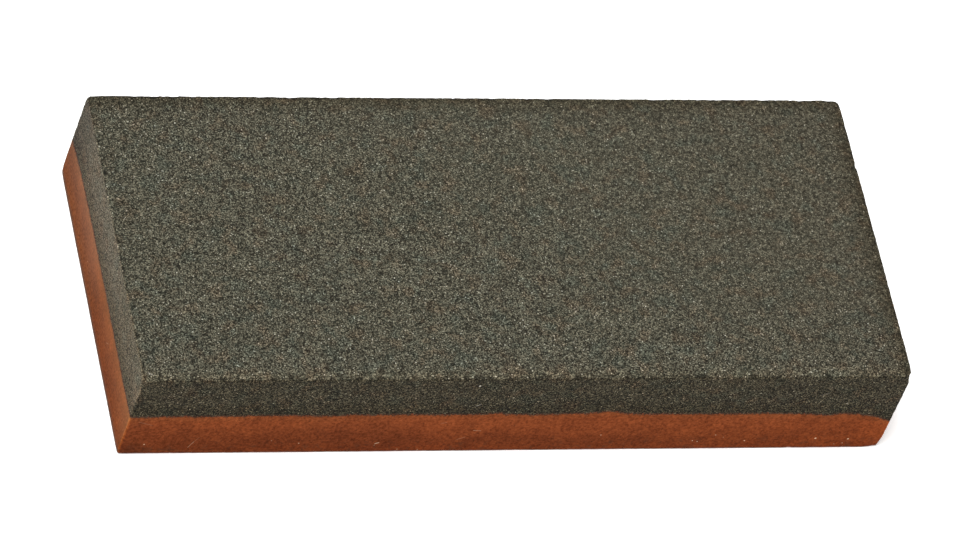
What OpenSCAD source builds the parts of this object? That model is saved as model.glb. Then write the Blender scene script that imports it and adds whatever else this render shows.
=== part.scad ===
// Combination sharpening stone: a block of two abrasive layers pressed together and fired as one.
// The coarse grit layer lies on the fine grit layer. The two meet on a wavy boundary, because each
// mix was poured and levelled in the mould before the press closed.
// Millimetres. X runs along the length, Y across the working faces, Z through the thickness.
// The origin is at the middle of the fine working face, which is the underside, and +Z points up.

/* [Block] */
// Length of the stone, end to end
stone_l = 101.6; // [70:0.1:250]
// Width of the two working faces
stone_w = 44.45; // [25:0.05:100]
// Thickness through both layers
stone_h = 15.875; // [13:0.125:30]
// Radius of the arrises round the two working faces
arris_r = 0.4; // [0.1:0.05:1]
// Radius of the four upright corners
corner_r = 0.5; // [0.1:0.05:1.5]

/* [Layer boundary] */
// Thickness of the fine layer over the -X half, as a share of the block's
fine_share = 0.5; // [0.4:0.01:0.6]
// How much thinner the fine layer has become at the +X end
boundary_fall = 0.65; // [0:0.05:1.5]
// How far the boundary turns down at the +X, -Y corner of the block
corner_sag = 2; // [0:0.1:2.5]
// The same at the opposite corner, as a share of corner_sag
far_sag_share = 0.75; // [0:0.05:1]
// Distance from such a corner, along the block, over which the boundary turns down
sag_reach = 2.6; // [1:0.1:10]
// Height of the slow ripples
ripple_h = 0.14; // [0:0.01:0.3]
// Length of one ripple along the block
ripple_pitch = 23; // [12:1:60]

/* [Boundary surface] */
// Facets along the block
facets_x = 42; // [20:2:60]
// Facets across the block
facets_y = 20; // [10:2:30]

/* [Hidden] */
$fn = 48;

// Height of the boundary where it neither falls nor sags
boundary_z = fine_share * stone_h;
// The sag reaches this many times further across the block than along it
sag_stretch_y = 2;
// How strongly the rows of facets crowd towards the sides and ends, from 0 to 1
crowding = 0.4;
// How far the solid above the boundary stands out past the block
clear = 1;

// Share t of the way across the facets, as a place from -1 to 1, with the rows closer at both ends
function crowded(t) = (1 - crowding) * (2 * t - 1) + crowding * sin(90 * (2 * t - 1));

// 0 up to the middle of the block, rising to 1 at the +X end
function towards_end(x) = pow(max(0, min(1, 2 * x / stone_l)), 1.5);

// 1 at the block's corner on the side_x and side_y sides, fading to 0 away from it
function near_corner(x, y, side_x, side_y) =
    exp(-norm([side_x * stone_l / 2 - x, (side_y * stone_w / 2 - y) / sag_stretch_y]) / sag_reach);

// Three waves that cross the block at different angles, from -1 to 1 together
function ripple(x, y) =
    let (turn = 360 * x / ripple_pitch)
        0.5 * sin(turn + 3 * y) + 0.3 * sin(1.7 * turn - 7 * y + 50) + 0.2 * sin(14 * y + 130);

// Height of the boundary between the layers at any point of the plan
function boundary(x, y) =
    boundary_z
    - boundary_fall * towards_end(x)
    - corner_sag * near_corner(x, y, 1, -1)
    - corner_sag * far_sag_share * near_corner(x, y, -1, 1)
    + ripple_h * ripple(x, y);

// Rectangle about the origin, with its four corners rounded to radius r
module rounded_rectangle(l, w, r) {
    square([l - 2 * r, w], center = true);
    square([l, w - 2 * r], center = true);
    for (sx = [-1, 1], sy = [-1, 1])
        translate([sx * (l / 2 - r), sy * (w / 2 - r)])
            circle(r = r);
}

// The whole pressed block: its plan, front and end outlines run through each other
module block() {
    intersection() {
        linear_extrude(height = stone_h)
            rounded_rectangle(stone_l, stone_w, corner_r);
        translate([0, stone_w / 2, stone_h / 2])
            rotate([90, 0, 0])
                linear_extrude(height = stone_w)
                    rounded_rectangle(stone_l, stone_h, arris_r);
        translate([-stone_l / 2, 0, stone_h / 2])
            rotate([90, 0, 90])
                linear_extrude(height = stone_l)
                    rounded_rectangle(stone_w, stone_h, arris_r);
    }
}

// Everything above the boundary, out past the sides and the top of the block
module above_boundary() {
    half_l = stone_l / 2 + clear;
    half_w = stone_w / 2 + clear;
    row = facets_x + 1;
    surface = [
        for (j = [0:facets_y], i = [0:facets_x])
            let (x = half_l * crowded(i / facets_x), y = half_w * crowded(j / facets_y))
                [x, y, boundary(x, y)]
    ];
    lid_0 = len(surface);
    lid_points = [
        for (sy = [-1, 1], sx = [-1, 1])
            [sx * half_l, sy * half_w, stone_h + clear]
    ];
    triangles = [
        for (j = [0:facets_y - 1], i = [0:facets_x - 1], upper = [false, true])
            let (a = j * row + i, b = a + 1, c = a + row, d = c + 1)
                upper ? [a, d, c] : [a, b, d]
    ];
    front = concat([for (i = [facets_x:-1:0]) i], [lid_0, lid_0 + 1]);
    back = concat([for (i = [0:facets_x]) facets_y * row + i], [lid_0 + 3, lid_0 + 2]);
    left = concat([for (j = [0:facets_y]) j * row], [lid_0 + 2, lid_0]);
    right = concat([for (j = [facets_y:-1:0]) j * row + facets_x], [lid_0 + 1, lid_0 + 3]);
    lid = [lid_0, lid_0 + 2, lid_0 + 3, lid_0 + 1];
    polyhedron(
        points = concat(surface, lid_points),
        faces = concat(triangles, [front, back, left, right, lid])
    );
}

// Fine abrasive, fired rust orange. Its underside is the fine working face.
module fine_grit_layer() {
    color([0.50, 0.27, 0.15])
        difference() {
            block();
            above_boundary();
        }
}

// Coarse abrasive, dark grey-green. Its top is the coarse working face.
module coarse_grit_layer() {
    color([0.32, 0.31, 0.26])
        intersection() {
            block();
            above_boundary();
        }
}

coarse_grit_layer();
fine_grit_layer();
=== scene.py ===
"""Looks of a combination sharpening stone: a coarse dark layer fired onto a fine rust orange one.

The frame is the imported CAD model's, in metres: X along the stone, Y across its faces, Z up.
Each layer is one closed mesh that follows the CAD block and the CAD boundary between the layers.
It adds the open grain, the worn arrises, the chipped corners and the ragged edge of the boundary.
Surface points are worked out in millimetres and become metres when the mesh is made.
"""

import math

import bpy
import numpy as np
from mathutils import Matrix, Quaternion, Vector, noise
from mathutils.bvhtree import BVHTree
from mathutils.geometry import delaunay_2d_cdt


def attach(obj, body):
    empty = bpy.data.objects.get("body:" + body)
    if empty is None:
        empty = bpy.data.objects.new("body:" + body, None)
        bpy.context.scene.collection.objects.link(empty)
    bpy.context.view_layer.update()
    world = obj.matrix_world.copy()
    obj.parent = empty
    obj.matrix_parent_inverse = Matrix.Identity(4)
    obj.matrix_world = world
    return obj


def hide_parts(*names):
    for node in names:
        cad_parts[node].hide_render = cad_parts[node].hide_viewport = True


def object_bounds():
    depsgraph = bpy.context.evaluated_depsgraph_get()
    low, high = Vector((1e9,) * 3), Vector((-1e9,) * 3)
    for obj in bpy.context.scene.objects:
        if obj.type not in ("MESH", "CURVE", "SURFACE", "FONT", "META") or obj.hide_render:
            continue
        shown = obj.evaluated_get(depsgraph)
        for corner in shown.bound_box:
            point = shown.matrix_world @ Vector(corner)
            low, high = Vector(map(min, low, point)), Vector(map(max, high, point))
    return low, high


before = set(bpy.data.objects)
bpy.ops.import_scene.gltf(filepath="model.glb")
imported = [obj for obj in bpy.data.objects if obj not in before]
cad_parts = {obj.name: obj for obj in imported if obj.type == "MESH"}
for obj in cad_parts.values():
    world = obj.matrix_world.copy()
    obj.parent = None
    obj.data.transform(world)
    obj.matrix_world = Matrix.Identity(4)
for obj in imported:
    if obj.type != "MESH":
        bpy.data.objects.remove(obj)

# ----------------------------------------------------------
# The block, from the CAD model
# ----------------------------------------------------------
MM = 0.001
CAD_LOW, CAD_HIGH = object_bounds()
HALF_L = CAD_HIGH.x / MM
HALF_W = CAD_HIGH.y / MM
HEIGHT = CAD_HIGH.z / MM
COARSE_FACE = HEIGHT
FINE_FACE = 0.0

# ----------------------------------------------------------
# Surface mesh, in millimetres
# ----------------------------------------------------------
PITCH = 0.285
# Mesh lines this far from each arris, so that its round is smooth
ARRIS_LINES = (0.0, 0.09, 0.19, 0.33, 0.5)
# Rings of points on the hidden boundary face: distance from the sides, and spacing
BOUNDARY_RINGS = ((0.5, 0.6), (1.25, 1.2), (2.5, 2.2))
BOUNDARY_INSET = 4.5
BOUNDARY_PITCH = 2.4
BOUNDARY_EDGE_ANGLE = math.radians(60)
# The triangulation's output kind that keeps only the inside of the rim, and its tolerance
INSIDE_ONLY = 1
PLAN_TOLERANCE = 1e-6
# Chance shifts of the surface points: most, as a share of the pitch, and least by an arris
JITTER_SHARE = 0.25
JITTER_BY_ARRIS = 0.15

# ----------------------------------------------------------
# Wear, in millimetres
# ----------------------------------------------------------
ARRIS_R = 0.26
ARRIS_R_LEAST = 0.12
# Share by which the radius varies along an arris, and the length of each variation
ARRIS_UNEVEN = ((0.12, 4.0), (0.18, 0.7))
# The arris along the front of the coarse face is worn rounder than the others
FRONT_ARRIS_R = 0.6
FRONT_ARRIS_REACH = 1.6
# Corners worn rounder than the rest: side along X, side along Y, height, extra radius, reach
WORN_CORNERS = (
    (1, -1, COARSE_FACE, 0.35, 0.8),
    (1, -1, FINE_FACE, 0.2, 0.8),
    (-1, 1, COARSE_FACE, 0.3, 1.0),
    (1, 1, COARSE_FACE, 0.32, 1.0),
    (-1, -1, COARSE_FACE, 0.4, 1.8),
    (-1, -1, FINE_FACE, 0.1, 0.7),
    (-1, 1, FINE_FACE, 0.3, 1.0),
    (1, 1, FINE_FACE, 0.2, 0.9),
)
# Small chips: place, reach and depth
CHIPS = (
    (HALF_L, -HALF_W, COARSE_FACE - 0.95, 0.85, 0.42),
    (HALF_L, -HALF_W, FINE_FACE, 2.2, 0.14),
    (HALF_L, 11.4, COARSE_FACE, 0.7, 0.13),
    (HALF_L, 4.0, FINE_FACE, 0.9, 0.15),
    (HALF_L, -12.0, FINE_FACE, 0.5, 0.1),
    (30.0, HALF_W, FINE_FACE, 1.0, 0.17),
    (-9.0, HALF_W, FINE_FACE, 0.6, 0.1),
    (38.5, -HALF_W, FINE_FACE, 0.5, 0.06),
)
# Pale crumbs on each layer: place, radius and strength
COARSE_CRUMBS = (
    ((-48.75, -22.15, COARSE_FACE), 0.14, 0.55),
    ((-6.85, -HALF_W, 14.1), 0.14, 0.9),
    ((43.6, -HALF_W, 9.8), 0.09, 0.5),
    ((-12.0, HALF_W, 11.0), 0.12, 0.7),
    ((HALF_L, 6.1, 12.3), 0.09, 0.6),
)
FINE_CRUMBS = (
    ((-47.7, -HALF_W, 2.1), 0.11, 0.7),
    ((-31.3, -HALF_W, 2.7), 0.08, 0.35),
    ((-27.6, -HALF_W, 2.1), 0.09, 0.5),
    ((-17.55, -HALF_W, 1.5), 0.07, 0.35),
    ((-14.3, -HALF_W, 0.6), 0.08, 0.4),
    ((-11.6, -HALF_W, 0.5), 0.08, 0.45),
    ((12.15, -HALF_W, 3.3), 0.08, 0.7),
    ((24.9, -HALF_W, 1.9), 0.08, 0.8),
    ((25.6, -HALF_W, 1.7), 0.08, 0.65),
    ((27.7, -HALF_W, 3.1), 0.08, 0.6),
    ((28.9, -HALF_W, 2.6), 0.07, 0.45),
    ((32.0, -HALF_W, 1.8), 0.1, 0.8),
    ((41.6, -HALF_W, 2.2), 0.15, 0.9),
    ((44.5, -HALF_W, 0.9), 0.07, 0.5),
    ((45.6, -HALF_W, 1.1), 0.07, 0.5),
    ((46.1, -HALF_W, 2.0), 0.13, 0.85),
    ((8.0, HALF_W, 3.1), 0.1, 0.7),
    ((-24.0, HALF_W, 1.8), 0.09, 0.6),
    ((HALF_L, -8.0, 2.6), 0.1, 0.7),
    ((-HALF_L, 5.2, 3.4), 0.07, 0.5),
)
# Stains on the fine layer: place, radius and strength
FINE_STAINS = (
    ((-21.5, -HALF_W, 3.6), 8.0, 0.3),
    ((33.0, -HALF_W, 3.6), 5.5, 0.42),
    ((41.0, -HALF_W, 0.8), 6.5, 0.4),
    ((-49.4, -HALF_W, 7.0), 1.2, 0.8),
    ((-48.6, -HALF_W, 0.7), 1.7, 0.8),
    ((14.0, HALF_W, 4.0), 7.0, 0.5),
    ((-HALF_L, 0.5, 1.6), 3.6, 0.3),
    ((HALF_L, 4.0, 2.0), 6.0, 0.4),
)
# Hairline scratches: one end, the other end, half width and strength
COARSE_SCRATCHES = (
    ((-50.1, -21.1, COARSE_FACE), (-49.4, -21.5, COARSE_FACE), 0.08, 0.6),
    ((-48.4, -22.1, COARSE_FACE), (-46.3, -22.15, COARSE_FACE), 0.06, 0.3),
    ((-49.7, -18.4, COARSE_FACE), (-49.2, -18.8, COARSE_FACE), 0.07, 0.3),
    ((-6.2, -HALF_W, 9.8), (-5.7, -HALF_W, 10.15), 0.08, 0.3),
    ((39.5, -HALF_W, 11.65), (40.5, -HALF_W, 12.05), 0.06, 0.15),
    ((27.5, HALF_W, 12.9), (28.2, HALF_W, 12.6), 0.07, 0.3),
)
FINE_SCRATCHES = (
    ((-41.9, -HALF_W, 1.4), (-41.4, -HALF_W, 2.6), 0.06, 0.2),
    ((-41.4, -HALF_W, 2.6), (-40.9, -HALF_W, 3.5), 0.05, 0.08),
    ((-49.4, -HALF_W, 6.9), (-47.6, -HALF_W, 6.2), 0.07, 0.08),
    ((-17.5, -HALF_W, 1.85), (-17.1, -HALF_W, 2.05), 0.1, 0.45),
    ((-9.9, -HALF_W, 6.15), (-9.2, -HALF_W, 6.3), 0.06, 0.12),
    ((-6.9, -HALF_W, 2.6), (-6.0, -HALF_W, 3.1), 0.06, 0.14),
    ((-5.2, -HALF_W, 4.55), (-4.2, -HALF_W, 4.45), 0.055, 0.28),
    ((-33.0, HALF_W, 2.2), (-32.2, HALF_W, 2.5), 0.05, 0.25),
    ((-HALF_L, -9.0, 5.2), (-HALF_L, -8.2, 4.4), 0.05, 0.15),
)
# How far each working face falls away over the last stretch towards its ends and sides
FALL_REACH = 2.6
FALLS = {"left": 0.03, "right": 0.12, "front": 0.05, "back": 0.1}
# How far the looks along the edges reach: worn upright corners, worn front, and painted shade
# along the back and right of the face
UPRIGHT_REACH = 0.28
FRONT_STRIP_REACH = 1.15
BACK_STRIP_REACH = 2.0
RIGHT_STRIP_REACH = 1.9

# ----------------------------------------------------------
# Relief, in millimetres: how deep each kind goes, and the size of its lumps
# ----------------------------------------------------------
# How open the coarse grain is on the faces across X, Y and Z. The ends are rubbed smoother
COARSE_OPENNESS = (0.4, 0.75, 1.0)
COARSE_SURFACE = 0.035
COARSE_GRAIN_DEPTH, COARSE_GRAIN_SIZE = 0.026, 0.37
COARSE_CHANCE_DEPTH = 0.017
COARSE_CLUMP_DEPTH, COARSE_CLUMP_SIZE = 0.012, 1.1
COARSE_PIT_DEPTH, COARSE_PIT_SIZE = 0.08, 0.62
COARSE_CRUMB_DEPTH, COARSE_CRUMB_SIZE = 0.06, 0.45
COARSE_BREAK_DEPTH, COARSE_BREAK_SIZE = 0.075, 1.2
FINE_SURFACE = 0.012
FINE_GRAIN_DEPTH, FINE_GRAIN_SIZE = 0.0035, 0.6
FINE_CHANCE_DEPTH = 0.002
FINE_WAVE_DEPTH, FINE_WAVE_SIZE = 0.008, 5.0
FINE_PIT_DEPTH, FINE_PIT_SIZE = 0.05, 0.55
FINE_CRUMB_DEPTH, FINE_CRUMB_SIZE = 0.02, 0.7
# Crumbling keeps this close to the arrises, and relief fades out this close to the boundary
CRUMBLE_REACH = 0.4
CALM_BY_BOUNDARY = 0.5
# Share by which the coarse layer's arrises crumble less on the ends
END_CRUMBLES_LESS = 0.5
# Depth at which the material's pits are darkest, as painted shade in them
DARK_PIT_DEPTH = 0.1

# ----------------------------------------------------------
# The boundary between the layers, in millimetres
# ----------------------------------------------------------
BOUNDARY_SMOOTHING = 0.6
BOUNDARY_MARGIN = 0.25
# Lumps and dips where the boundary shows: side, place along it, height, half width
BOUNDARY_LUMPS = (
    ("front", 12.0, 0.5, 1.6),
    ("front", -3.0, 0.2, 1.2),
    ("front", -22.0, 0.16, 1.5),
    ("front", 49.0, 0.3, 1.2),
    ("front", 47.2, 0.2, 1.5),
    ("front", 44.4, 0.45, 1.9),
    ("front", 42.1, -0.12, 0.7),
    ("back", 20.0, 0.35, 2.0),
    ("back", -12.0, -0.3, 1.6),
    ("right", 9.0, 0.3, 1.8),
    ("right", -6.0, -0.25, 1.3),
)
LUMP_DEPTH = 4.0
# The ragged edge: its height, the shares and sizes of its lumps, and the share of pure chance
BOUNDARY_RAGGED = 0.1
RAGGED_GRAIN_SHARE, RAGGED_GRAIN_SIZE = 1.1, 0.45
RAGGED_CLUMP_SHARE, RAGGED_CLUMP_SIZE = 0.77, 0.9
RAGGED_CHANCE_SHARE = 0.55


def outward(face_z):
    """1 for the coarse layer, whose working face looks up, and -1 for the fine layer."""
    return 1 if face_z == COARSE_FACE else -1


def noise_at(points, size, seed):
    """Smooth noise from about -1 to 1 at each point, with lumps of roughly that size."""
    shift = Vector((17.3 * seed, -9.1 * seed, 5.7 * seed))
    return np.array([noise.noise(Vector(p) / size + shift) for p in points])


def smooth_step(value, low, high):
    """0 below low, 1 above high, and an even curve between."""
    t = np.clip((value - low) / (high - low), 0, 1)
    return t * t * (3 - 2 * t)


# ----------------------------------------------------------
# Boundary height
# ----------------------------------------------------------
def node_tree_of(node):
    """The CAD node's mesh, ready for ray casts."""
    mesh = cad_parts[node].data
    corners = [v.co.copy() for v in mesh.vertices]
    return BVHTree.FromPolygons(corners, [tuple(p.vertices) for p in mesh.polygons])


fine_solid = node_tree_of("fine_grit_layer")


def cad_boundary(x, y):
    """Height of the top of the CAD fine layer at a point of the plan."""
    start = Vector((x, y, HEIGHT + 1)) * MM
    hit = fine_solid.ray_cast(start, Vector((0, 0, -1)))[0]
    return hit.z / MM


def lump_height(x, y):
    """What the lumps and dips add to the boundary near the sides of the block."""
    sides = {
        "front": (x, HALF_W + y),
        "back": (x, HALF_W - y),
        "right": (y, HALF_L - x),
    }
    total = 0.0
    for side, place, height, half_width in BOUNDARY_LUMPS:
        along, inside = sides[side]
        across = ((along - place) / half_width) ** 2
        total += height * math.exp(-across - inside / LUMP_DEPTH)
    return total


def boundary_height(x, y):
    """Height of the boundary between the layers: the CAD's, smoothed, with its lumps."""
    limit_x = HALF_L - BOUNDARY_MARGIN
    limit_y = HALF_W - BOUNDARY_MARGIN
    step = BOUNDARY_SMOOTHING
    around = ((0, 0), (step, 0), (-step, 0), (0, step), (0, -step))
    heights = [
        cad_boundary(
            max(-limit_x, min(limit_x, x + dx)),
            max(-limit_y, min(limit_y, y + dy)),
        )
        for dx, dy in around
    ]
    return sum(heights) / len(heights) + lump_height(x, y)


# ----------------------------------------------------------
# The square-edged surface of a layer
# ----------------------------------------------------------
def mesh_lines(half):
    """Places of the mesh lines from -half to half, closer together by the two arrises."""
    inner = half - ARRIS_LINES[-1]
    middle = np.linspace(-inner, inner, round(2 * inner / PITCH) + 1)
    edge = half - np.array(ARRIS_LINES[:-1])
    return np.concatenate([-edge, middle, edge[::-1]])


def rim_walk(columns, rows):
    """Indices of a grid's outline, anticlockwise from its first corner."""
    front = list(range(columns - 1))
    right = [j * columns + columns - 1 for j in range(rows - 1)]
    back = [(rows - 1) * columns + i for i in range(columns - 1, 0, -1)]
    left = [j * columns for j in range(rows - 1, 0, -1)]
    return np.array(front + right + back + left)


LINES_X = mesh_lines(HALF_L)
LINES_Y = mesh_lines(HALF_W)
RIM = rim_walk(len(LINES_X), len(LINES_Y))
RIM_XY = np.array([(x, y) for y in LINES_Y for x in LINES_X])[RIM]


def rim_boundary():
    """Height of the boundary at each point of the rim, ragged at the size of the coarse grains."""
    heights = np.array([boundary_height(x, y) for x, y in RIM_XY])
    points = np.column_stack([RIM_XY, heights])
    grains = RAGGED_GRAIN_SHARE * noise_at(points, RAGGED_GRAIN_SIZE, 21)
    clumps = RAGGED_CLUMP_SHARE * noise_at(points, RAGGED_CLUMP_SIZE, 22)
    chance = RAGGED_CHANCE_SHARE * np.random.default_rng(7).uniform(-1, 1, len(RIM))
    return heights + BOUNDARY_RAGGED * (grains + clumps + chance)


RIM_Z = rim_boundary()


def ring_outline(inset, spacing):
    """Points round a rectangle that lies inside the block's sides."""
    half_x = HALF_L - inset
    half_y = HALF_W - inset
    across = np.linspace(-half_x, half_x, round(2 * half_x / spacing), endpoint=False)
    upward = np.linspace(-half_y, half_y, round(2 * half_y / spacing), endpoint=False)
    front = [(x, -half_y) for x in across]
    right = [(half_x, y) for y in upward]
    back = [(-x, half_y) for x in across]
    left = [(-half_x, -y) for y in upward]
    return front + right + back + left


def boundary_inner_points():
    """Plan of the points inside the boundary face, sparser away from its rim."""
    points = []
    for inset, spacing in BOUNDARY_RINGS:
        points += ring_outline(inset, spacing)
    half_x = HALF_L - BOUNDARY_INSET
    half_y = HALF_W - BOUNDARY_INSET
    for x in np.linspace(-half_x, half_x, round(2 * half_x / BOUNDARY_PITCH)):
        for y in np.linspace(-half_y, half_y, round(2 * half_y / BOUNDARY_PITCH)):
            points.append((x, y))
    return np.array(points)


def fill_rim(rim_xy, inner_xy):
    """Triangles, anticlockwise from above, over the inside of the rim. Rim points come first."""
    plan = [Vector(p) for p in np.vstack([rim_xy, inner_xy])]
    count = len(rim_xy)
    edges = [(i, (i + 1) % count) for i in range(count)]
    made = delaunay_2d_cdt(plan, edges, [], INSIDE_ONLY, PLAN_TOLERANCE)
    source = [origins[0] for origins in made[3]]
    triangles = []
    for corners in made[2]:
        a, b, c = (source[k] for k in corners)
        turn = (plan[b] - plan[a]).cross(plan[c] - plan[a])
        triangles.append((a, b, c) if turn > 0 else (a, c, b))
    return triangles


def wall_depths(face_z):
    """Distance of every wall ring under the working face, one row for each ring after the rim."""
    whole = np.abs(face_z - RIM_Z)
    near = [np.full(len(RIM), d) for d in ARRIS_LINES[1:]]
    last = ARRIS_LINES[-1]
    steps = round((np.median(whole) - last) / PITCH)
    rest = [last + (whole - last) * k / steps for k in range(1, steps + 1)]
    return near + rest


def square_layer(face_z):
    """Points of one layer before wear: the working face's grid, then its wall rings down to the
    boundary. Returns the points, the quads facing out of an upper layer, and the last ring."""
    up = outward(face_z)
    columns = len(LINES_X)
    grid = [(x, y, face_z) for y in LINES_Y for x in LINES_X]
    quads = [
        (a, a + 1, a + columns + 1, a + columns)
        for j in range(len(LINES_Y) - 1)
        for a in range(j * columns, j * columns + columns - 1)
    ]
    points = [np.array(grid)]
    total = len(grid)
    upper = RIM
    for depth in wall_depths(face_z):
        lower = total + np.arange(len(RIM))
        points.append(np.column_stack([RIM_XY, face_z - up * depth]))
        total += len(RIM)
        quads += zip(lower, np.roll(lower, -1), np.roll(upper, -1), upper)
        upper = lower
    return np.vstack(points), [tuple(int(k) for k in q) for q in quads], upper


# ----------------------------------------------------------
# Wear and relief
# ----------------------------------------------------------
def arris_radius(points):
    """Radius of the arrises near each point: uneven along the edges and larger at worn corners."""
    radius = np.full(len(points), ARRIS_R)
    for seed, (share, size) in enumerate(ARRIS_UNEVEN, 31):
        radius += ARRIS_R * share * noise_at(points, size, seed)
    away = np.hypot(points[:, 1] + HALF_W, points[:, 2] - COARSE_FACE)
    radius += (FRONT_ARRIS_R - ARRIS_R) * np.exp(-((away / FRONT_ARRIS_REACH) ** 2))
    for side_x, side_y, height, extra, reach in WORN_CORNERS:
        corner = np.array([side_x * HALF_L, side_y * HALF_W, height])
        away = np.linalg.norm(points - corner, axis=1)
        radius += extra * np.exp(-((away / reach) ** 2))
    return np.maximum(radius, ARRIS_R_LEAST)


def rounded(points, radius, face_z):
    """Rounds the block's arrises. Returns the moved points and the direction out of the stone."""
    core = points.copy()
    core[:, 0] = np.clip(points[:, 0], radius - HALF_L, HALF_L - radius)
    core[:, 1] = np.clip(points[:, 1], radius - HALF_W, HALF_W - radius)
    if outward(face_z) > 0:
        core[:, 2] = np.minimum(points[:, 2], face_z - radius)
    else:
        core[:, 2] = np.maximum(points[:, 2], face_z + radius)
    out = points - core
    out /= np.linalg.norm(out, axis=1)[:, None]
    return core + out * radius[:, None], out


def face_fall(points, out):
    """How far the working face has worn down towards its ends and sides."""
    gaps = {
        "left": points[:, 0] + HALF_L,
        "right": HALF_L - points[:, 0],
        "front": points[:, 1] + HALF_W,
        "back": HALF_W - points[:, 1],
    }
    total = np.zeros(len(points))
    for side, most in FALLS.items():
        total += most * np.clip(1 - gaps[side] / FALL_REACH, 0, 1) ** 2
    return total * np.abs(out[:, 2])


def chip_depth(points):
    """How far the chips at the arrises and corners cut into each point."""
    total = np.zeros(len(points))
    for x, y, z, reach, depth in CHIPS:
        away = np.linalg.norm(points - np.array([x, y, z]), axis=1)
        total += depth * np.clip(1 - (away / reach) ** 2, 0, 1)
    return total


def edge_distance(points, face_z):
    """Distance of each point of the square block from its nearest arris."""
    gaps = np.column_stack([
        HALF_L - np.abs(points[:, 0]),
        HALF_W - np.abs(points[:, 1]),
        np.abs(points[:, 2] - face_z),
    ])
    return np.sort(gaps, axis=1)[:, 1]


def upright_arris(points, above):
    """1 along the four upright corners, away from the working face."""
    gap = np.maximum(HALF_L - np.abs(points[:, 0]), HALF_W - np.abs(points[:, 1]))
    return np.exp(-((gap / UPRIGHT_REACH) ** 2)) * smooth_step(above, 0.1, 0.6)


def front_strip(points, out):
    """1 along the worn front arris of the working face, fading out across the face."""
    across = np.exp(-(((points[:, 1] + HALF_W) / FRONT_STRIP_REACH) ** 2))
    return across * smooth_step(np.abs(out[:, 2]), 0.15, 0.7)


def far_strips(points):
    """1 along the back and the right end, fading out across the face, where the working face gets
    painted shade.
    """
    back = np.exp(-(((HALF_W - points[:, 1]) / BACK_STRIP_REACH) ** 2))
    right = np.exp(-(((HALF_L - points[:, 0]) / RIGHT_STRIP_REACH) ** 2))
    return np.maximum(back, right)


def by_arris(edge):
    """1 along the arrises, fading out over the faces beside them."""
    return np.exp(-((edge / CRUMBLE_REACH) ** 2))


def coarse_relief(points, out, edge):
    """Depth of the open coarse grain under the block's surface."""
    openness = out ** 2 @ np.array(COARSE_OPENNESS)
    chance = np.random.default_rng(3).uniform(-1, 1, len(points))
    raised = COARSE_GRAIN_DEPTH * noise_at(points, COARSE_GRAIN_SIZE, 1)
    raised += COARSE_CHANCE_DEPTH * chance
    raised += COARSE_CLUMP_DEPTH * noise_at(points, COARSE_CLUMP_SIZE, 2)
    pits = COARSE_PIT_DEPTH * smooth_step(noise_at(points, COARSE_PIT_SIZE, 3), 0.42, 0.75)
    crumbs = COARSE_CRUMB_DEPTH * smooth_step(noise_at(points, COARSE_CRUMB_SIZE, 4), 0.0, 0.6)
    breaks = COARSE_BREAK_DEPTH * smooth_step(noise_at(points, COARSE_BREAK_SIZE, 5), 0.0, 0.5)
    crumbled = (crumbs + breaks) * by_arris(edge)
    crumbled *= 1 - END_CRUMBLES_LESS * np.abs(out[:, 0])
    return openness * (COARSE_SURFACE - raised + pits) + crumbled


def fine_relief(points, out, edge):
    """Depth of the smooth fine grain under the block's surface, with a few pinholes."""
    chance = np.random.default_rng(5).uniform(-1, 1, len(points))
    raised = FINE_GRAIN_DEPTH * noise_at(points, FINE_GRAIN_SIZE, 11)
    raised += FINE_CHANCE_DEPTH * chance
    raised += FINE_WAVE_DEPTH * noise_at(points, FINE_WAVE_SIZE, 12)
    pits = FINE_PIT_DEPTH * smooth_step(noise_at(points, FINE_PIT_SIZE, 13), 0.66, 0.85)
    crumbs = FINE_CRUMB_DEPTH * smooth_step(noise_at(points, FINE_CRUMB_SIZE, 14), 0.25, 0.7)
    return FINE_SURFACE - raised + pits + crumbs * by_arris(edge)


def sideways_jitter(points, out, edge, seed):
    """Small chance shifts along the surface, so that the mesh lines don't show as rows."""
    shift = np.random.default_rng(seed).uniform(-1, 1, points.shape)
    shift -= out * np.sum(shift * out, axis=1)[:, None]
    room = JITTER_SHARE * PITCH * np.clip(edge / ARRIS_LINES[-1], JITTER_BY_ARRIS, 1)
    return shift * room[:, None]


# ----------------------------------------------------------
# Layers
# ----------------------------------------------------------
def worn_layer(face_z, relief, seed):
    """Points and quads of one layer with its wear and grain, and the facts its material uses."""
    square, quads, last_ring = square_layer(face_z)
    edge = edge_distance(square, face_z)
    points, out = rounded(square, arris_radius(square), face_z)
    above = np.abs(square[:, 2] - face_z)
    gap = np.full(len(square), HEIGHT)
    walls = len(square) - len(LINES_X) * len(LINES_Y)
    rim_rows = np.tile(RIM_Z, walls // len(RIM))
    gap[-walls:] = np.abs(square[-walls:, 2] - rim_rows)
    free = smooth_step(gap, 0, CALM_BY_BOUNDARY)
    sunk = relief(square, out, edge)
    chips = chip_depth(square)
    points = points - out * ((sunk + chips) * free)[:, None]
    points[:, 2] -= outward(face_z) * face_fall(square, out)
    points += sideways_jitter(points, out, edge, seed) * free[:, None]
    facts = {
        "upright": upright_arris(square, above),
        "pale_strip": front_strip(square, out),
        "painted_shade_strip": far_strips(square) * out[:, 2] ** 2,
        "sunk": np.clip(sunk / DARK_PIT_DEPTH, 0, 1),
        "boundary_gap": gap,
        "end_face": out[:, 0] ** 2,
        "side_face": out[:, 1] ** 2,
    }
    return points, quads, last_ring, facts


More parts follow.
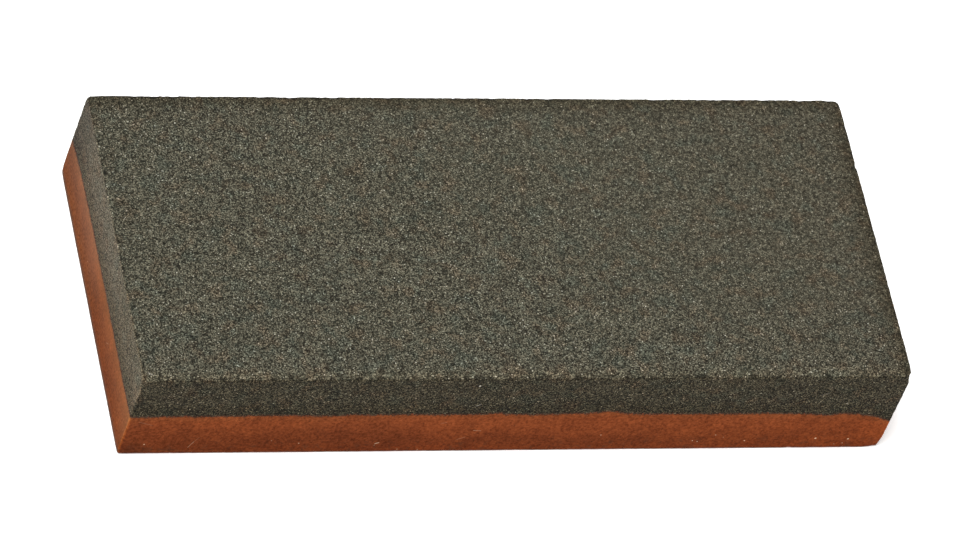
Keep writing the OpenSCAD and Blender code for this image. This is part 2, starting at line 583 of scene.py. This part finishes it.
def layer_object(name, face_z, relief, seed):
    """One layer as a closed mesh object."""
    points, quads, last_ring, facts = worn_layer(face_z, relief, seed)
    inner_xy = boundary_inner_points()
    inner_z = np.array([boundary_height(x, y) for x, y in inner_xy])
    first_inner = len(points)
    index = np.concatenate([last_ring, first_inner + np.arange(len(inner_xy))])
    lid = [
        (int(index[a]), int(index[c]), int(index[b]))
        for a, b, c in fill_rim(points[last_ring, :2], inner_xy)
    ]
    faces = quads + lid
    if outward(face_z) < 0:
        faces = [tuple(reversed(f)) for f in faces]
    everything = np.vstack([points, np.column_stack([inner_xy, inner_z])]) * MM
    mesh = bpy.data.meshes.new(name)
    mesh.from_pydata(everything.tolist(), [], faces)
    for fact, values in facts.items():
        padded = np.concatenate([values, np.zeros(len(inner_xy))]).astype(np.float32)
        mesh.attributes.new(fact, "FLOAT", "POINT").data.foreach_set("value", padded)
    mesh.shade_smooth()
    mesh.set_sharp_from_angle(angle=BOUNDARY_EDGE_ANGLE)
    mesh.validate()
    piece = bpy.data.objects.new(name, mesh)
    bpy.context.scene.collection.objects.link(piece)
    return piece


# ----------------------------------------------------------
# Materials
# ----------------------------------------------------------
# Noise is flat at its own start, so that lies well away from the stone, in millimetres
NOISE_START = (71.3, 38.9, 27.1)
# Where a mark starts to fade and where it has gone, as shares of its radius
MARK_FADE = (0.6, 1.3)
# Sockets of the mix node while it mixes colours
MIX_FACTOR, MIX_A, MIX_B = 0, 6, 7
MIX_RESULT = 2


class Nodes:
    """Short calls that build one material's node tree. Texture places are in millimetres."""

    def __init__(self, name):
        self.material = bpy.data.materials.new(name)
        self.material.use_nodes = True
        self.tree = self.material.node_tree
        self.tree.nodes.clear()
        self.shader = self.add("ShaderNodeBsdfPrincipled")
        output = self.add("ShaderNodeOutputMaterial")
        self.tree.links.new(self.shader.outputs["BSDF"], output.inputs["Surface"])

    def add(self, kind, inputs=None, **settings):
        """A node with its settings, and its inputs given as values or as sockets to link."""
        node = self.tree.nodes.new(kind)
        for key, value in settings.items():
            setattr(node, key, value)
        for key, value in (inputs or {}).items():
            if isinstance(value, bpy.types.NodeSocket):
                self.tree.links.new(value, node.inputs[key])
            else:
                node.inputs[key].default_value = value
        return node

    def place(self):
        """Where on the stone the shaded point is, in millimetres."""
        given = {0: self.add("ShaderNodeTexCoord").outputs["Object"], "Scale": 1 / MM}
        return self.add("ShaderNodeVectorMath", given, operation="SCALE").outputs[0]

    def parts(self, place):
        """A place's distances along X, Y and Z, in millimetres."""
        split = self.add("ShaderNodeSeparateXYZ", {0: place}).outputs
        return split["X"], split["Y"], split["Z"]

    def fact(self, name):
        """A value that the mesh carries at its points."""
        return self.add("ShaderNodeAttribute", attribute_name=name).outputs["Fac"]

    def math(self, operation, a, b, clamp=False):
        node = self.add("ShaderNodeMath", {0: a, 1: b}, operation=operation, use_clamp=clamp)
        return node.outputs[0]

    def times(self, a, b):
        return self.math("MULTIPLY", a, b)

    def spread(self, value, middle, amount):
        """How far the value is from the middle, times the amount."""
        return self.times(self.math("SUBTRACT", value, middle), amount)

    def ramp(self, value, low, high, at_low=0.0, at_high=1.0):
        """A smooth change from at_low to at_high while value goes from low to high."""
        given = {"Value": value, "From Min": low, "From Max": high}
        given |= {"To Min": at_low, "To Max": at_high}
        node = self.add("ShaderNodeMapRange", given, interpolation_type="SMOOTHSTEP")
        return node.outputs["Result"]

    def noise(self, place, size, detail, roughness=0.5):
        away = self.add("ShaderNodeVectorMath", {0: place, 1: NOISE_START}).outputs[0]
        given = {"Vector": away, "Scale": 1 / size, "Detail": detail, "Roughness": roughness}
        return self.add("ShaderNodeTexNoise", given)

    def noise_value(self, place, size, detail, roughness=0.5):
        return self.noise(place, size, detail, roughness).outputs["Fac"]

    def cells(self, place, size):
        return self.add("ShaderNodeTexVoronoi", {"Vector": place, "Scale": 1 / size})

    def wobbled(self, place, size, amount):
        """The place, shifted about by noise so that cells lose their straight sides."""
        given = {0: self.noise(place, size, 1.0).outputs["Color"], 1: (0.5, 0.5, 0.5)}
        way = self.add("ShaderNodeVectorMath", given, operation="SUBTRACT").outputs[0]
        given = {0: way, "Scale": amount}
        shift = self.add("ShaderNodeVectorMath", given, operation="SCALE").outputs[0]
        return self.add("ShaderNodeVectorMath", {0: place, 1: shift}).outputs[0]

    def stops(self, value, stops):
        """A colour ramp with its stops given as place and linear colour."""
        node = self.add("ShaderNodeValToRGB", {"Fac": value})
        elements = node.color_ramp.elements
        while len(elements) < len(stops):
            elements.new(1.0)
        for element, (where, colour) in zip(elements, stops):
            element.position = where
            element.color = (*colour, 1.0)
        return node.outputs["Color"]

    def mix(self, factor, a, b, blend="MIX"):
        """Colour a changed into colour b, each given as a socket or as a linear colour."""
        node = self.add("ShaderNodeMix", data_type="RGBA", blend_type=blend)
        given = {MIX_FACTOR: factor, MIX_A: a, MIX_B: b}
        for key, value in given.items():
            if isinstance(value, bpy.types.NodeSocket):
                self.tree.links.new(value, node.inputs[key])
            else:
                node.inputs[key].default_value = value if key == MIX_FACTOR else (*value, 1.0)
        return node.outputs[MIX_RESULT]

    def tint(self, factor, colour, by):
        """The colour, multiplied by another where the factor is 1."""
        return self.mix(factor, colour, by, "MULTIPLY")

    def separate(self, colour):
        return self.add("ShaderNodeSeparateColor", {"Color": colour}).outputs

    def near(self, place, point, radius, strength):
        """The strength inside a small ball about a point, fading to 0 about its surface."""
        given = {0: place, 1: point}
        gap = self.add("ShaderNodeVectorMath", given, operation="DISTANCE").outputs["Value"]
        fade_from, gone_at = MARK_FADE
        return self.ramp(gap, fade_from * radius, gone_at * radius, strength, 0.0)

    def along(self, place, start, end, half_width, strength):
        """The strength along a straight line between two points, fading to 0 beside it."""
        line = Vector(end) - Vector(start)
        given = {0: place, 1: start}
        away = self.add("ShaderNodeVectorMath", given, operation="SUBTRACT").outputs[0]
        given = {0: away, 1: line / line.length_squared}
        share = self.add("ShaderNodeVectorMath", given, operation="DOT_PRODUCT").outputs["Value"]
        given = {0: line, "Scale": self.math("ADD", share, 0.0, clamp=True)}
        nearest = self.add("ShaderNodeVectorMath", given, operation="SCALE").outputs[0]
        return self.near(away, nearest, half_width, strength)

    def marks(self, place, spots, lines=()):
        """How strongly the listed round spots and straight lines show."""
        total = 0.0
        for spot in spots:
            total = self.math("MAXIMUM", self.near(place, *spot), total)
        for line in lines:
            total = self.math("MAXIMUM", self.along(place, *line), total)
        return total

    def strays(self, place, gap, middle, reach):
        """Above 0 on chance specks beside the boundary, which are fewer where the gap is wider."""
        specks = self.spread(self.noise_value(place, STRAY_SIZE, 2.0), middle, reach)
        return self.math("SUBTRACT", specks, gap)

    def surface(self, colour, rough, shine, height, depth, strength):
        """Joins colour, roughness, shine and fine bumps to the shader. Returns the material."""
        self.tree.links.new(colour, self.shader.inputs["Base Color"])
        self.tree.links.new(rough, self.shader.inputs["Roughness"])
        self.shader.inputs["Specular IOR Level"].default_value = shine
        given = {"Height": height, "Distance": depth * MM, "Strength": strength}
        bumps = self.add("ShaderNodeBump", given).outputs["Normal"]
        self.tree.links.new(bumps, self.shader.inputs["Normal"])
        return self.material


def scaled(colour, factor):
    return tuple(channel * factor for channel in colour)


# Sizes of the coarse layer's grains, dust, clumps and patches, in millimetres
COARSE_GRAIN = 0.157
COARSE_DUST = 0.085
COARSE_CLUMP = 0.5
COARSE_PATCH = 2.4
# Size and amount of the wobble that takes the straight sides off grains and marks
GRAIN_WOBBLE = (0.22, 0.09)
MARK_WOBBLE = (0.25, 0.1)
STRAY_SIZE = 0.2

# Colours are linear. Hue of the dark grit: green-grey, with little blue
COARSE_HUE = (1.0, 0.94, 0.665)
COARSE_AVERAGE = scaled(COARSE_HUE, 0.0725)
# Painted shade in the pores between grains and in the mesh's pits
COARSE_PORE = scaled(COARSE_HUE, 0.006)
COARSE_PIT = scaled(COARSE_HUE, 0.01)
COARSE_BY_BOUNDARY = scaled(COARSE_HUE, 0.014)
# How much of the look is dust, how dark the pores are, and how far grains rise over pores
DUST_SHARE = 0.32
PORE_SHARE = 0.8
GRAIN_RISE = 0.7
BRIGHT_GRAIN = (0.72, 0.69, 0.56)
TAN_GRAIN = (0.14, 0.105, 0.065)
GREEN_GRAIN = (0.05, 0.07, 0.055)
PALE = (0.62, 0.57, 0.48)
RUST = (0.22, 0.05, 0.016)
# Tones from the darkest grain to the brightest: place in the range, and colour
GRAIN_TONES = (
    (0.0, scaled(COARSE_HUE, 0.004)),
    (0.27, scaled(COARSE_HUE, 0.014)),
    (0.52, scaled(COARSE_HUE, 0.096)),
    (0.9, scaled(COARSE_HUE, 0.257)),
    (0.975, scaled(COARSE_HUE, 0.34)),
    (1.0, BRIGHT_GRAIN),
)
DUST_TONES = (
    (0.0, scaled(COARSE_HUE, 0.003)),
    (0.5, scaled(COARSE_HUE, 0.085)),
    (1.0, scaled(COARSE_HUE, 0.27)),
)
CLUMP_TINTS = (
    (0.35, (0.59, 0.58, 0.57)),
    (0.65, (1.41, 1.41, 1.41)),
)
# Tints: what the coarse layer's colour is multiplied by at each place
BROWN_PATCH = (1.15, 0.95, 0.87)
GREEN_PATCH = (0.81, 0.95, 1.01)
PALE_STRIP = (1.165, 1.1, 1.035)
# Painted shade along the back and right edges of the working face
SHADE_STRIP_TINT = (0.68, 0.63, 0.56)
RIGHT_OF_FACE = (0.95, 0.925, 0.92)
# Partly handling, partly painted shade on the front and back faces
HANDLED_AND_SHADED_SIDE = (0.755, 0.68, 0.605)
# Partly rubbed wear, partly painted light on the ends
RUBBED_AND_LIT_END = (1.265, 1.155, 1.12)
END_LOW_DOWN = (0.88, 0.82, 0.785)
END_BY_BACK = (0.63, 0.63, 0.64)
END_BY_FRONT = (0.915, 0.905, 0.855)
OVER_BOUNDARY = (0.775, 0.745, 0.66)
# Power that deepens the grain of the sides
HANDLED_SIDE_GAMMA = 1.15
# Ramps: where a value starts and ends, and the amount at the start and at the end
TO_TAN = (0.8, 0.95, 0.0, 0.3)
TO_GREEN = (0.8, 0.95, 0.0, 0.25)
TO_PORE = (0.4, 0.75, 0.0, 1.0)
TO_PIT = (0.35, 0.9, 0.0, 0.75)
TO_PATCH = (0.5, 0.7, 0.0, 0.6)
TO_SIDE = (0.6, 0.95, 0.0, 1.0)
TO_END = (0.1, 0.6, 0.0, 1.0)
DARK_BY_BOUNDARY = (0.0, 0.7, 0.4, 0.0)
RUST_BY_BOUNDARY = (0.0, 0.55, 0.14, 0.0)
TO_STRAY_RUST = (-0.02, 0.12, 0.0, 0.8)
COARSE_ROUGHNESS = (0.0, 1.0, 0.92, 0.7)
# Middle of the noise that makes rust grains stray over the boundary, and their reach
STRAY_RUST = (0.5, 1.6)
# Where those looks begin and end, in millimetres along X or Y, or up from the boundary
RIGHT_RANGE = (8.0, 50.0)
END_LOW_RANGE = (1.5, 6.5)
END_BACK_RANGE = (12.0, 21.0)
END_FRONT_RANGE = (-10.0, -4.0)
OVER_BOUNDARY_RANGE = (0.8, 3.4)
# The glaze grows along X plus this much of Y, over these distances
GLAZE_SLANT = 1.2
GLAZE_RANGE = (-22.0, 52.0)
GLAZE_BEHIND_FRONT = (-24.0, -6.0)
# How much of the grain it hides at most, and how much it clumps for that
GLAZE_SHARE = 0.35
CLUMPS_PER_GLAZE = 3.0
COARSE_SHINE = 0.1
# Small bumps on top of the mesh's own relief: depth in millimetres, and strength
COARSE_BUMPS = (0.05, 0.7)
FINE_BUMPS = (0.03, 0.6)


def coarse_grains(n, place, grain_place):
    """Colour of the grains and of the dust between them, each grain's tone, and the pores."""
    grain = n.cells(grain_place, COARSE_GRAIN)
    tone, lean, extra = n.separate(grain.outputs["Color"])[:3]
    dust_tone = n.separate(n.cells(place, COARSE_DUST).outputs["Color"])[0]
    colour = n.mix(DUST_SHARE, n.stops(tone, GRAIN_TONES), n.stops(dust_tone, DUST_TONES))
    # Chance grains lean to tan or to grey-green
    colour = n.mix(n.ramp(lean, *TO_TAN), colour, TAN_GRAIN)
    colour = n.mix(n.ramp(extra, *TO_GREEN), colour, GREEN_GRAIN)
    # Pores between the grains, and the pits of the mesh, painted dark as the shade in these
    # hollows
    pore = n.ramp(grain.outputs["Distance"], *TO_PORE)
    colour = n.mix(n.times(pore, PORE_SHARE), colour, COARSE_PORE)
    colour = n.mix(n.ramp(n.fact("sunk"), *TO_PIT), colour, COARSE_PIT)
    return colour, tone, pore


def coarse_face(n, place, colour):
    """The grains' colour with what use has done to the working face, and painted shade along its
    back and right edges.
    """
    x, y = n.parts(place)[:2]
    off_sides = n.math("SUBTRACT", 1.0, n.fact("side_face"))
    # Glazed by use towards the far right: the grains stand out less, and slurry clumps them
    towards_corner = n.math("ADD", x, n.times(y, GLAZE_SLANT))
    glazed = n.ramp(towards_corner, *GLAZE_RANGE, 0.0, GLAZE_SHARE)
    glazed = n.times(n.times(glazed, n.ramp(y, *GLAZE_BEHIND_FRONT)), off_sides)
    colour = n.mix(glazed, colour, COARSE_AVERAGE)
    clumps = n.stops(n.noise_value(place, COARSE_CLUMP, 2.0), CLUMP_TINTS)
    clumped = n.math("MULTIPLY", glazed, CLUMPS_PER_GLAZE, clamp=True)
    colour = n.tint(clumped, colour, clumps)
    # Slow patches, some brown and some blue-green
    patch = n.separate(n.noise(place, COARSE_PATCH, 2.0).outputs["Color"])
    colour = n.tint(n.ramp(patch[0], *TO_PATCH), colour, BROWN_PATCH)
    colour = n.tint(n.ramp(patch[1], *TO_PATCH), colour, GREEN_PATCH)
    # Crumbly and paler along the front; painted shade makes it darker along the back and the right
    colour = n.tint(n.fact("pale_strip"), colour, PALE_STRIP)
    colour = n.tint(n.fact("painted_shade_strip"), colour, SHADE_STRIP_TINT)
    to_right = n.times(n.ramp(x, *RIGHT_RANGE), off_sides)
    return n.tint(to_right, colour, RIGHT_OF_FACE)


def coarse_sides(n, place, colour):
    """The colour with what handling has done to the sides and the ends, with painted shade on the
    sides and painted light on the ends.
    """
    y = n.parts(place)[1]
    # The sides are browner and darker, with the grains standing out more: partly handling, partly
    # painted shade
    side = n.ramp(n.fact("side_face"), *TO_SIDE)
    given = {"Color": colour, "Gamma": HANDLED_SIDE_GAMMA}
    deeper = n.add("ShaderNodeGamma", given).outputs["Color"]
    colour = n.mix(side, colour, n.tint(1.0, deeper, HANDLED_AND_SHADED_SIDE))
    # The ends are rubbed warm and made lighter with painted light, and darker low down, towards
    # the back and a little towards the front
    end = n.ramp(n.fact("end_face"), *TO_END)
    colour = n.tint(end, colour, RUBBED_AND_LIT_END)
    low_down = n.ramp(n.fact("boundary_gap"), *END_LOW_RANGE, 1.0, 0.0)
    colour = n.tint(n.times(end, low_down), colour, END_LOW_DOWN)
    colour = n.tint(n.times(end, n.ramp(y, *END_BACK_RANGE)), colour, END_BY_BACK)
    by_front = n.ramp(y, *END_FRONT_RANGE, 1.0, 0.0)
    return n.tint(n.times(end, by_front), colour, END_BY_FRONT)


def coarse_material():
    """Silicon carbide grains: mostly dark grey-green, some tan and pale, with pores and pits
    painted dark as shade.
    """
    n = Nodes("coarse_abrasive")
    place = n.place()
    grain_place = n.wobbled(place, *GRAIN_WOBBLE)
    colour, tone, pore = coarse_grains(n, place, grain_place)
    colour = coarse_face(n, place, colour)
    colour = coarse_sides(n, place, colour)
    # Darker over the boundary, with a few rust grains mixed in low down
    gap = n.fact("boundary_gap")
    colour = n.tint(n.ramp(gap, *OVER_BOUNDARY_RANGE, 1.0, 0.0), colour, OVER_BOUNDARY)
    colour = n.mix(n.ramp(gap, *DARK_BY_BOUNDARY), colour, COARSE_BY_BOUNDARY)
    colour = n.mix(n.ramp(gap, *RUST_BY_BOUNDARY), colour, RUST)
    strays = n.strays(place, gap, *STRAY_RUST)
    colour = n.mix(n.ramp(strays, *TO_STRAY_RUST), colour, RUST)
    colour = n.mix(n.marks(grain_place, COARSE_CRUMBS, COARSE_SCRATCHES), colour, PALE)
    rough = n.ramp(tone, *COARSE_ROUGHNESS)
    height = n.math("SUBTRACT", n.times(tone, GRAIN_RISE), pore)
    return n.surface(colour, rough, COARSE_SHINE, height, *COARSE_BUMPS)


# Sizes of the fine layer's mottle, clouds and specks, in millimetres
FINE_MOTTLE = 0.33
FINE_CLOUD = 3.0
FINE_SPECK = 0.42
SHADE_LINE_WAVE = 5.0
SMUDGE = 0.9
STAIN_BREAKUP = 1.6

# Colours of the paste, and of the marks and dirt on it
# Painted shade: the paste goes from RUST_LOW_DOWN at the bottom to RUST_HIGH_UP by the boundary
RUST_LOW_DOWN = (0.151, 0.0322, 0.007)
RUST_HIGH_UP = (0.2, 0.045, 0.0113)
PALE_WARM = (0.68, 0.47, 0.3)
DARK_SPECK = (0.045, 0.018, 0.008)
SLURRY = (0.055, 0.028, 0.014)
LOWEST_EDGE_GREY = (0.075, 0.06, 0.048)
LOWEST_END_GREY = (0.07, 0.05, 0.038)
END_DUST_AND_SHEEN = (0.4, 0.39, 0.26)
PRESSED_GRAIN = (0.03, 0.022, 0.015)
MOTTLE_TINTS = (
    (0.25, (0.5, 0.44, 0.4)),
    (0.75, (1.5, 1.57, 1.63)),
)
CLOUD_TINTS = (
    (0.3, (0.84, 0.82, 0.8)),
    (0.7, (1.14, 1.16, 1.18)),
)
# Tints: what the fine layer's colour is multiplied by at each place
# Painted shade below the uneven line low down on the fine layer
SHADED_BELOW_LINE = (0.84, 0.82, 0.8)
CLEAN_ON_RIGHT = (1.15, 1.1, 1.0)
STAINED = (0.68, 0.72, 0.8)
RUBBED_LOW_DOWN = (1.12, 1.07, 1.05)
END_LOW_HALF = (1.24, 1.36, 1.14)
END_FRONT_HALF = (1.0, 0.94, 0.7)
END_BACK_HALF = (1.05, 1.19, 1.3)
END_FRONT_CORNER = (1.13, 1.17, 1.17)
END_BACK_CORNER = (0.78, 0.79, 0.77)
# Partly rubbed clean, partly a painted highlight along the upright corners
RUBBED_AND_HIGHLIT_CORNER = (1.5, 1.6, 1.5)
UNDER_BOUNDARY = (0.98, 1.09, 1.13)
# Ramps: where a value starts and ends, and the amount at the start and at the end
CHOSEN_SPECK = (0.95, 0.96, 0.0, 1.0)
INSIDE_SPECK = (0.12, 0.3, 0.7, 0.0)
TO_SMUDGE = (0.54, 0.68, 0.0, 1.0)
TO_STAIN = (0.35, 0.6, 0.35, 1.0)
TO_LOWEST_EDGE_GREY = (0.1, 0.5, 0.3, 0.0)
TO_LOWEST_END_GREY = (0.3, 1.4, 0.6, 0.0)
TO_END_DUST_AND_SHEEN = (1.0, 7.5, 0.0, 0.075)
TO_FINE_END = (0.35, 0.75, 0.0, 1.0)
TO_CORNER = (0.2, 0.8, 0.0, 1.0)
TO_PRESSED_GRAIN = (-0.02, 0.1, 0.0, 0.85)
FINE_ROUGHNESS = (0.3, 0.7, 0.92, 0.8)
# Middle of the noise that presses grains into the boundary, and their reach
STRAY_GRAIN = (0.46, 1.4)
# Where those looks begin and end, in millimetres along X or Y, or up from the fine face
PASTE_RANGE = (0.3, 7.5)
SHADE_LINE_RANGE = (2.4, 4.6)
CLEAN_RIGHT_RANGE = (18.0, 50.0)
CLEAN_UNDER_BOUNDARY = (5.0, 7.2)
SMUDGE_RANGE = (0.4, 3.8)
RUBBED_LOW_RANGE = (0.6, 2.4)
RUBBED_RIGHT_RANGE = (-48.0, -20.0)
END_LOW_HALF_RANGE = (0.5, 5.0)
END_HALVES_RANGE = (-3.0, 5.0)
END_FRONT_CORNER_RANGE = (-21.0, -14.0)
END_BACK_CORNER_RANGE = (14.0, 21.0)
END_BACK_CORNER_HEIGHTS = (3.0, 6.0)
# The same, down from the boundary
UNDER_BOUNDARY_RANGE = (0.2, 1.4)
# How much of the colour the smudges hide
SMUDGE_SHARE = 0.4
# The line of painted shade: how far its waves go up and down, and its climb towards the left end
SHADE_LINE_WAVES = 9.0
SHADE_LINE_CLIMB = 0.045
FINE_SHINE = 0.06


def fine_paste(n, place):
    """The fine layer's own colour, darker towards the bottom with painted shade, and the mottle
    that it comes from.
    """
    height = n.parts(place)[2]
    # Painted shade: darker towards the bottom, lighter towards the boundary
    colour = n.mix(n.ramp(height, *PASTE_RANGE), RUST_LOW_DOWN, RUST_HIGH_UP)
    mottle = n.noise_value(place, FINE_MOTTLE, 3.0, 0.62)
    colour = n.tint(1.0, colour, n.stops(mottle, MOTTLE_TINTS))
    clouds = n.noise_value(place, FINE_CLOUD, 3.0, 0.6)
    colour = n.tint(1.0, colour, n.stops(clouds, CLOUD_TINTS))
    # Sparse dark specks
    specks = n.cells(place, FINE_SPECK)
    chosen = n.ramp(n.separate(specks.outputs["Color"])[0], *CHOSEN_SPECK)
    inside = n.ramp(specks.outputs["Distance"], *INSIDE_SPECK)
    colour = n.mix(n.times(chosen, inside), colour, DARK_SPECK)
    return colour, mottle


def fine_dirt_and_shade(n, place, colour):
    """The fine layer's colour with painted shade below an uneven line, and the dark slurry that it
    has taken up low down.
    """
    x, y, height = n.parts(place)
    # Painted shade: darker below an uneven line, which climbs towards the left end
    waves = n.spread(n.noise_value(place, SHADE_LINE_WAVE, 4.0, 0.6), 0.5, SHADE_LINE_WAVES)
    level = n.math("ADD", height, n.math("ADD", waves, n.times(x, SHADE_LINE_CLIMB)))
    colour = n.tint(n.ramp(level, *SHADE_LINE_RANGE, 1.0, 0.0), colour, SHADED_BELOW_LINE)
    lower = n.ramp(height, *CLEAN_UNDER_BOUNDARY, 1.0, 0.0)
    on_right = n.times(n.ramp(x, *CLEAN_RIGHT_RANGE), lower)
    colour = n.tint(on_right, colour, CLEAN_ON_RIGHT)
    # Smudges of slurry, and stains with uneven edges
    smudge = n.ramp(n.noise_value(place, SMUDGE, 3.0, 0.6), *TO_SMUDGE)
    smudged = n.times(smudge, n.ramp(height, *SMUDGE_RANGE, 1.0, 0.0))
    colour = n.mix(n.times(smudged, SMUDGE_SHARE), colour, SLURRY)
    patchy = n.ramp(n.noise_value(place, STAIN_BREAKUP, 3.0, 0.6), *TO_STAIN)
    colour = n.tint(n.times(n.marks(place, FINE_STAINS), patchy), colour, STAINED)
    # Rubbed a little cleaner near the lowest edge, and darker grey right along it
    near_edge = n.ramp(height, *RUBBED_LOW_RANGE, 1.0, 0.0)
    rubbed = n.times(near_edge, n.ramp(x, *RUBBED_RIGHT_RANGE))
    colour = n.tint(rubbed, colour, RUBBED_LOW_DOWN)
    return n.mix(n.ramp(height, *TO_LOWEST_EDGE_GREY), colour, LOWEST_EDGE_GREY)


def fine_ends(n, place, colour):
    """The fine layer's colour on its ends: paler with dust and a painted sheen, most of all high
    up, and tinted towards the back.
    """
    y, height = n.parts(place)[1:]
    # Partly dust, partly a painted sheen, growing up the end
    dusty = n.mix(n.ramp(height, *TO_END_DUST_AND_SHEEN), colour, END_DUST_AND_SHEEN)
    dusty = n.tint(n.ramp(height, *END_LOW_HALF_RANGE, 1.0, 0.0), dusty, END_LOW_HALF)
    halves = n.mix(n.ramp(y, *END_HALVES_RANGE), END_FRONT_HALF, END_BACK_HALF)
    dusty = n.tint(1.0, dusty, halves)
    front_corner = n.ramp(y, *END_FRONT_CORNER_RANGE, 1.0, 0.0)
    dusty = n.tint(front_corner, dusty, END_FRONT_CORNER)
    high_up = n.ramp(height, *END_BACK_CORNER_HEIGHTS)
    back_corner = n.times(n.ramp(y, *END_BACK_CORNER_RANGE), high_up)
    dusty = n.tint(back_corner, dusty, END_BACK_CORNER)
    # Darker grey right along the lowest edge of the ends
    dusty = n.mix(n.ramp(height, *TO_LOWEST_END_GREY), dusty, LOWEST_END_GREY)
    return n.mix(n.ramp(n.fact("end_face"), *TO_FINE_END), colour, dusty)


def fine_material():
    """Fine aluminium oxide: rust orange, nearly smooth, lighter by the boundary and darker towards
    the bottom with painted shade.
    """
    n = Nodes("fine_abrasive")
    place = n.place()
    colour, mottle = fine_paste(n, place)
    colour = fine_dirt_and_shade(n, place, colour)
    colour = fine_ends(n, place, colour)
    # Upright corners are brighter: partly rubbed clean, partly a painted highlight along the edge
    colour = n.tint(n.ramp(n.fact("upright"), *TO_CORNER), colour, RUBBED_AND_HIGHLIT_CORNER)
    # Lightest just under the boundary, with dark coarse grains pressed into its top
    gap = n.fact("boundary_gap")
    colour = n.tint(n.ramp(gap, *UNDER_BOUNDARY_RANGE, 1.0, 0.0), colour, UNDER_BOUNDARY)
    strays = n.strays(place, gap, *STRAY_GRAIN)
    colour = n.mix(n.ramp(strays, *TO_PRESSED_GRAIN), colour, PRESSED_GRAIN)
    mark_place = n.wobbled(place, *MARK_WOBBLE)
    colour = n.mix(n.marks(mark_place, FINE_CRUMBS, FINE_SCRATCHES), colour, PALE_WARM)
    rough = n.ramp(mottle, *FINE_ROUGHNESS)
    return n.surface(colour, rough, FINE_SHINE, mottle, *FINE_BUMPS)


# ----------------------------------------------------------
# The pieces
# ----------------------------------------------------------
def add_layer(name, node, face_z, relief, seed, material):
    """Builds one layer's piece and joins it to the CAD frame."""
    piece = layer_object(name, face_z, relief, seed)
    piece.data.materials.append(material)
    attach(piece, "root")
    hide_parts(node)
    return piece


add_layer("coarse_layer", "coarse_grit_layer", COARSE_FACE,
          coarse_relief, 41, coarse_material())
add_layer("fine_layer", "fine_grit_layer", FINE_FACE,
          fine_relief, 42, fine_material())


# ----------------------------------------------------------
# Camera, floor and light, in metres and degrees, with the lens in millimetres
# ----------------------------------------------------------
CAMERA_AZIMUTH = -29.15
CAMERA_ELEVATION = 49.7
CAMERA_ROLL = 22.97
CAMERA_LENS = 274.1
CAMERA_DISTANCE = 0.9497
CAMERA_TARGET = (0.00034, -0.0003, 0.00786)
CAMERA_CLIP = (0.01, 50.0)

FLOOR_SIZE = 12.0
FLOOR_COLOUR = (0.93, 0.93, 0.92)
FLOOR_ROUGHNESS = 0.9
FLOOR_SHINE = 0.1
FLOOR_GLOW = 0.3
WORLD_COLOUR = (1.0, 1.0, 0.99)
WORLD_STRENGTH = 0.4
BACKDROP_STRENGTH = 1.0
KEY_AZIMUTH = -62.0
KEY_ELEVATION = 71.0
KEY_DISTANCE = 1.6
KEY_ANGLE = 31.0
KEY_STRENGTH = 3.3


def direction(azimuth, elevation):
    """Unit vector from the stone towards a place given by its azimuth and elevation."""
    a = math.radians(azimuth)
    e = math.radians(elevation)
    return Vector((math.sin(a) * math.cos(e), -math.cos(a) * math.cos(e), math.sin(e)))


def add_camera():
    """The camera, at the viewing angle of the reference."""
    back = direction(CAMERA_AZIMUTH, CAMERA_ELEVATION)
    data = bpy.data.cameras.new("camera")
    data.lens = CAMERA_LENS
    data.clip_start, data.clip_end = CAMERA_CLIP
    camera = bpy.data.objects.new("camera", data)
    camera.location = Vector(CAMERA_TARGET) + back * CAMERA_DISTANCE
    camera.rotation_mode = "QUATERNION"
    roll = Quaternion((0, 0, 1), math.radians(CAMERA_ROLL))
    camera.rotation_quaternion = (-back).to_track_quat("-Z", "Y") @ roll
    bpy.context.scene.collection.objects.link(camera)
    bpy.context.scene.camera = camera


def add_floor():
    """A wide pale floor at the height of the underside."""
    half = FLOOR_SIZE / 2
    mesh = bpy.data.meshes.new("floor")
    corners = [(-half, -half, 0), (half, -half, 0), (half, half, 0), (-half, half, 0)]
    mesh.from_pydata(corners, [], [(0, 1, 2, 3)])
    n = Nodes("floor_paint")
    n.shader.inputs["Base Color"].default_value = (*FLOOR_COLOUR, 1.0)
    n.shader.inputs["Roughness"].default_value = FLOOR_ROUGHNESS
    n.shader.inputs["Specular IOR Level"].default_value = FLOOR_SHINE
    n.shader.inputs["Emission Color"].default_value = (1.0, 1.0, 1.0, 1.0)
    n.shader.inputs["Emission Strength"].default_value = FLOOR_GLOW
    mesh.materials.append(n.material)
    floor = bpy.data.objects.new("floor", mesh)
    floor.location = (0, 0, CAD_LOW.z)
    bpy.context.scene.collection.objects.link(floor)


def add_lights():
    """An even pale surround, and one large soft lamp above the near left."""
    world = bpy.data.worlds.new("studio")
    world.use_nodes = True
    tree = world.node_tree
    background = tree.nodes["Background"]
    background.inputs["Color"].default_value = (*WORLD_COLOUR, 1.0)
    seen = tree.nodes.new("ShaderNodeLightPath").outputs["Is Camera Ray"]
    strength = tree.nodes.new("ShaderNodeMapRange")
    strength.inputs["To Min"].default_value = WORLD_STRENGTH
    strength.inputs["To Max"].default_value = BACKDROP_STRENGTH
    tree.links.new(seen, strength.inputs["Value"])
    tree.links.new(strength.outputs["Result"], background.inputs["Strength"])
    bpy.context.scene.world = world
    towards = direction(KEY_AZIMUTH, KEY_ELEVATION)
    data = bpy.data.lights.new("key_light", "SUN")
    data.angle = math.radians(KEY_ANGLE)
    data.energy = KEY_STRENGTH
    lamp = bpy.data.objects.new("key_light", data)
    lamp.location = towards * KEY_DISTANCE
    lamp.rotation_mode = "QUATERNION"
    lamp.rotation_quaternion = (-towards).to_track_quat("-Z", "Y")
    bpy.context.scene.collection.objects.link(lamp)


add_camera()
add_floor()
add_lights()
bpy.context.scene.view_settings.view_transform = "Standard"
